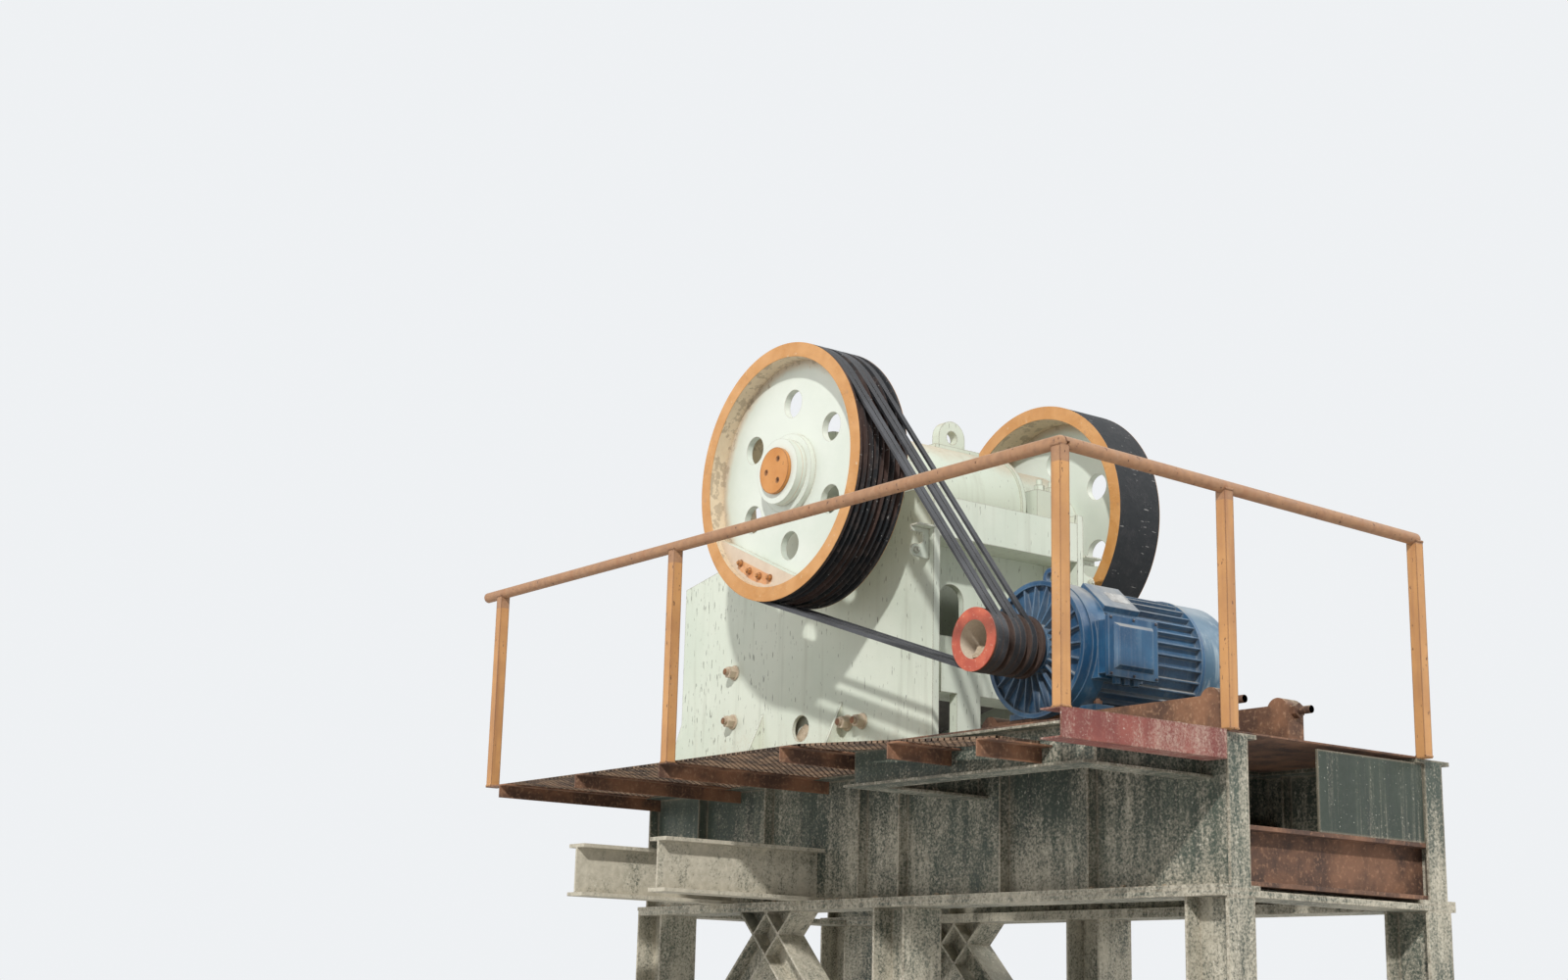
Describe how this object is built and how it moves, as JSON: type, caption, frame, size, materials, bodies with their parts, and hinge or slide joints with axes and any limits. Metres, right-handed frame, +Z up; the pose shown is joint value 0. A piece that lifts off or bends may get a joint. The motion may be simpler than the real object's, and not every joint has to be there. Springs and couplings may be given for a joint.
{
  "type": "jaw crusher plant",
  "caption": "Single-toggle jaw crusher with flywheels, belt drive and motor on a braced steel stand with walkway and handrail.",
  "frame": {"origin": "on the ground, at the middle of the plant's plan", "axes": "+X from the feed end to the motor end, +Y from the walkway to the flywheel side, +Z up"},
  "size_m": [4.945, 2.962, 5.225],
  "materials": {
    "stand_green": "dark green paint, dusty and scuffed",
    "rusty_steel": "bare steel with an even brown rust",
    "red_oxide": "red oxide primer",
    "rail_ochre": "ochre paint worn to rust",
    "cream_paint": "pale cream green paint, dusty",
    "manganese_steel": "as cast, worn",
    "bare_steel": "machined steel, dulled",
    "ochre_paint": "orange ochre paint",
    "belt_rubber": "worn rubber",
    "motor_blue": "blue paint, dusty",
    "pulley_red": "red primer"
  },
  "bodies": {
    "plant": {"near_girder": "stand_green", "far_girder": "stand_green", "front_cross_beam": "stand_green", "motor_cross_beams": "stand_green", "rear_cross_beam": "rusty_steel", "rear_end_plate": "stand_green", "near_legs": "stand_green", "far_legs": "stand_green", "near_braces": "stand_green", "far_braces": "stand_green", "near_sill": "stand_green", "far_sill": "stand_green", "end_sills": "stand_green", "outriggers": "stand_green", "walkway_brackets": "rusty_steel", "edge_beam": "rusty_steel", "walkway_grating": "rusty_steel", "rear_channel": "red_oxide", "deck_plates": "rusty_steel", "side_handrail": "rail_ochre", "rear_handrail": "rail_ochre", "near_side_wall": "cream_paint", "far_side_wall": "cream_paint", "front_wall": "cream_paint", "rear_top_beam": "cream_paint", "rear_wall": "cream_paint", "rear_lower_beam": "cream_paint", "fixed_jaw_plate": "manganese_steel", "cheek_plates": "manganese_steel", "near_bearing_housing": "cream_paint", "far_bearing_housing": "cream_paint", "toggle_plate": "manganese_steel", "toggle_block": "cream_paint", "tension_springs": "bare_steel", "drive_belts": "belt_rubber", "motor_frame": "motor_blue", "motor_end_shield": "motor_blue", "motor_fan_cover": "motor_blue", "motor_terminal_box": "motor_blue", "slide_rails": "rusty_steel"},
    "crank": {"eccentric_shaft": "bare_steel", "pulley_wheel": "cream_paint", "flywheel": "cream_paint", "shaft_end_caps": "ochre_paint"},
    "swing_jaw": {"swing_jaw": "cream_paint", "swing_jaw_plate": "manganese_steel", "tension_rods": "bare_steel"},
    "motor_rotor": {"motor_shaft": "bare_steel", "motor_pulley": "pulley_red"}
  },
  "joints": [
    {"name": "crank_spin", "type": "hinge", "parent": "plant", "child": "crank", "pos_m": [-0.4725, 0.329, 4.5], "axis": [0, 1, 0], "continuous": true},
    {"name": "jaw_orbit", "type": "hinge", "parent": "crank", "child": "swing_jaw", "pos_m": [-0.4725, 0.329, 4.485], "axis": [0, 1, 0], "continuous": true},
    {"name": "motor_spin", "type": "hinge", "parent": "plant", "child": "motor_rotor", "pos_m": [1.1485, 0.329, 3.365], "axis": [0, 1, 0], "continuous": true}
  ],
  "couplings": [
    {"joint": "jaw_orbit", "follows": "crank_spin", "ratio": -1},
    {"joint": "motor_spin", "follows": "crank_spin", "ratio": 4.84}
  ]
}
